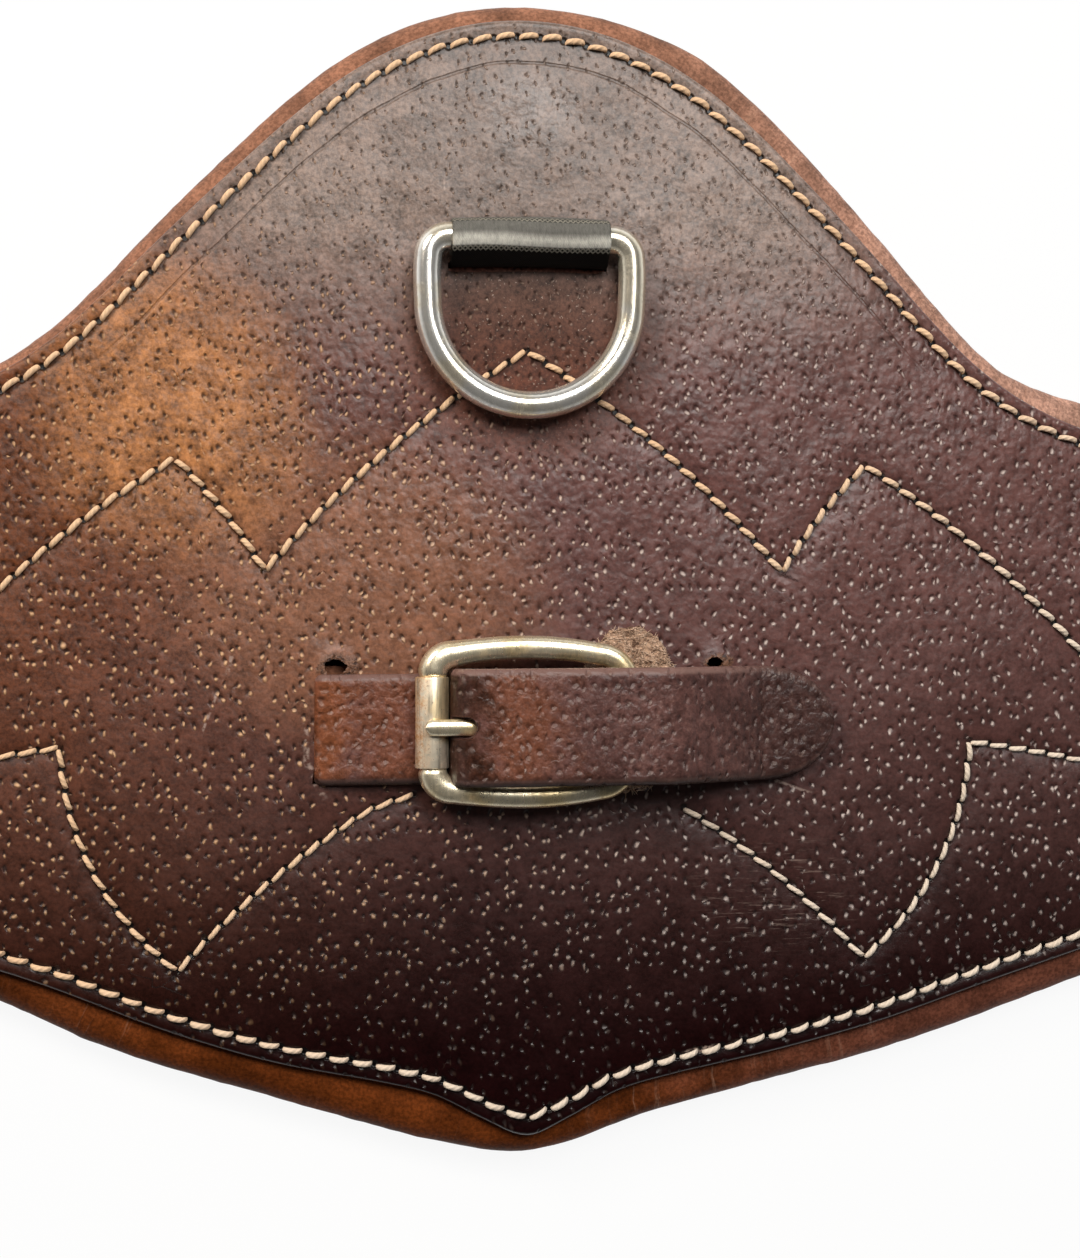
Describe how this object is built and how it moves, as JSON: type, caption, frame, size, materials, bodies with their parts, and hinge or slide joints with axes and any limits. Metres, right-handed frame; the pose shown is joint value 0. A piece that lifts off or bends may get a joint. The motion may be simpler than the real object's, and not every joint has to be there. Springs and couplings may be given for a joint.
{
  "type": "belly guard girth",
  "caption": "Long padded leather girth with a wide sewn belly guard, a ring on an elastic loop, a buckled keeper strap, and elastic ends with roller buckles that hold a saddle.",
  "frame": {"origin": "on the lining's underside, at mid length, on the centreline of the arms", "axes": "+X along the girth towards the keeper strap's tip, +Y across it towards the rounded side of the guard, +Z out of the leather face"},
  "size_m": [1.35, 0.2529, 0.0298],
  "materials": {
    "face": "grained and waxed",
    "lining": "smooth",
    "strap": "smooth and waxed",
    "suede": "flesh side, fibrous",
    "foam": "closed-cell foam",
    "webbing": "woven",
    "board": "pressed fibre",
    "thread": "waxed",
    "elastic": "ribbed",
    "steel": "polished"
  },
  "bodies": {
    "girth": {"face_leather": "face", "lining_leather": "lining", "foam_pad": "foam", "core_webbing": "webbing", "interlining": "board", "perimeter_seam": "thread", "figure_seam": "thread", "box_seam_left_lower": "thread", "box_seam_left_upper": "thread", "box_seam_right_lower": "thread", "box_seam_right_upper": "thread", "d_ring_elastic": "elastic", "keeper_strap": "strap", "buckle_chape": "strap", "buckle_safe": "suede", "keeper_buckle_frame": "steel", "keeper_buckle_tongue": "steel", "elastic_left_lower": "elastic", "elastic_left_upper": "elastic", "elastic_right_lower": "elastic", "elastic_right_upper": "elastic"},
    "ring": {"d_ring": "steel"},
    "keeper_roller": {"keeper_buckle_roller": "steel"},
    "end_left_lower": {"chape_left_lower": "strap"},
    "frame_left_lower": {"buckle_frame_left_lower": "steel"},
    "tongue_left_lower": {"buckle_tongue_left_lower": "steel"},
    "roller_left_lower": {"buckle_roller_left_lower": "steel"},
    "end_left_upper": {"chape_left_upper": "strap"},
    "frame_left_upper": {"buckle_frame_left_upper": "steel"},
    "tongue_left_upper": {"buckle_tongue_left_upper": "steel"},
    "roller_left_upper": {"buckle_roller_left_upper": "steel"},
    "end_right_lower": {"chape_right_lower": "strap"},
    "frame_right_lower": {"buckle_frame_right_lower": "steel"},
    "tongue_right_lower": {"buckle_tongue_right_lower": "steel"},
    "roller_right_lower": {"buckle_roller_right_lower": "steel"},
    "end_right_upper": {"chape_right_upper": "strap"},
    "frame_right_upper": {"buckle_frame_right_upper": "steel"},
    "tongue_right_upper": {"buckle_tongue_right_upper": "steel"},
    "roller_right_upper": {"buckle_roller_right_upper": "steel"}
  },
  "joints": [
    {"name": "ring_swing", "type": "hinge", "parent": "girth", "child": "ring", "pos_m": [0, 0.0951, 0.0202], "axis": [-1, 0, 0], "range_deg": [0, 170]},
    {"name": "keeper_roller_spin", "type": "hinge", "parent": "girth", "child": "keeper_roller", "pos_m": [-0.0212, -0.0097, 0.0215], "axis": [0, 1, 0], "continuous": true},
    {"name": "stretch_left_lower", "type": "slide", "parent": "girth", "child": "end_left_lower", "axis": [-1, 0, 0], "range_m": [0, 0.03], "stiffness_N_per_m": 3000, "deforming": ["elastic_left_lower"]},
    {"name": "frame_swing_left_lower", "type": "hinge", "parent": "end_left_lower", "child": "frame_left_lower", "pos_m": [-0.6355, -0.023, 0.0052], "axis": [0, 1, 0], "range_deg": [-60, 45]},
    {"name": "tongue_lift_left_lower", "type": "hinge", "parent": "frame_left_lower", "child": "tongue_left_lower", "pos_m": [-0.6355, -0.023, 0.0052], "axis": [0, 1, 0], "range_deg": [0, 60]},
    {"name": "roller_spin_left_lower", "type": "hinge", "parent": "frame_left_lower", "child": "roller_left_lower", "pos_m": [-0.6715, -0.023, 0.0052], "axis": [0, 1, 0], "continuous": true},
    {"name": "stretch_left_upper", "type": "slide", "parent": "girth", "child": "end_left_upper", "axis": [-1, 0, 0], "range_m": [0, 0.03], "stiffness_N_per_m": 3000, "deforming": ["elastic_left_upper"]},
    {"name": "frame_swing_left_upper", "type": "hinge", "parent": "end_left_upper", "child": "frame_left_upper", "pos_m": [-0.6355, 0.023, 0.0052], "axis": [0, 1, 0], "range_deg": [-60, 45]},
    {"name": "tongue_lift_left_upper", "type": "hinge", "parent": "frame_left_upper", "child": "tongue_left_upper", "pos_m": [-0.6355, 0.023, 0.0052], "axis": [0, 1, 0], "range_deg": [0, 60]},
    {"name": "roller_spin_left_upper", "type": "hinge", "parent": "frame_left_upper", "child": "roller_left_upper", "pos_m": [-0.6715, 0.023, 0.0052], "axis": [0, 1, 0], "continuous": true},
    {"name": "stretch_right_lower", "type": "slide", "parent": "girth", "child": "end_right_lower", "axis": [1, 0, 0], "range_m": [0, 0.03], "stiffness_N_per_m": 3000, "deforming": ["elastic_right_lower"]},
    {"name": "frame_swing_right_lower", "type": "hinge", "parent": "end_right_lower", "child": "frame_right_lower", "pos_m": [0.6355, -0.023, 0.0052], "axis": [0, -1, 0], "range_deg": [-60, 45]},
    {"name": "tongue_lift_right_lower", "type": "hinge", "parent": "frame_right_lower", "child": "tongue_right_lower", "pos_m": [0.6355, -0.023, 0.0052], "axis": [0, -1, 0], "range_deg": [0, 60]},
    {"name": "roller_spin_right_lower", "type": "hinge", "parent": "frame_right_lower", "child": "roller_right_lower", "pos_m": [0.6715, -0.023, 0.0052], "axis": [0, -1, 0], "continuous": true},
    {"name": "stretch_right_upper", "type": "slide", "parent": "girth", "child": "end_right_upper", "axis": [1, 0, 0], "range_m": [0, 0.03], "stiffness_N_per_m": 3000, "deforming": ["elastic_right_upper"]},
    {"name": "frame_swing_right_upper", "type": "hinge", "parent": "end_right_upper", "child": "frame_right_upper", "pos_m": [0.6355, 0.023, 0.0052], "axis": [0, -1, 0], "range_deg": [-60, 45]},
    {"name": "tongue_lift_right_upper", "type": "hinge", "parent": "frame_right_upper", "child": "tongue_right_upper", "pos_m": [0.6355, 0.023, 0.0052], "axis": [0, -1, 0], "range_deg": [0, 60]},
    {"name": "roller_spin_right_upper", "type": "hinge", "parent": "frame_right_upper", "child": "roller_right_upper", "pos_m": [0.6715, 0.023, 0.0052], "axis": [0, -1, 0], "continuous": true}
  ]
}
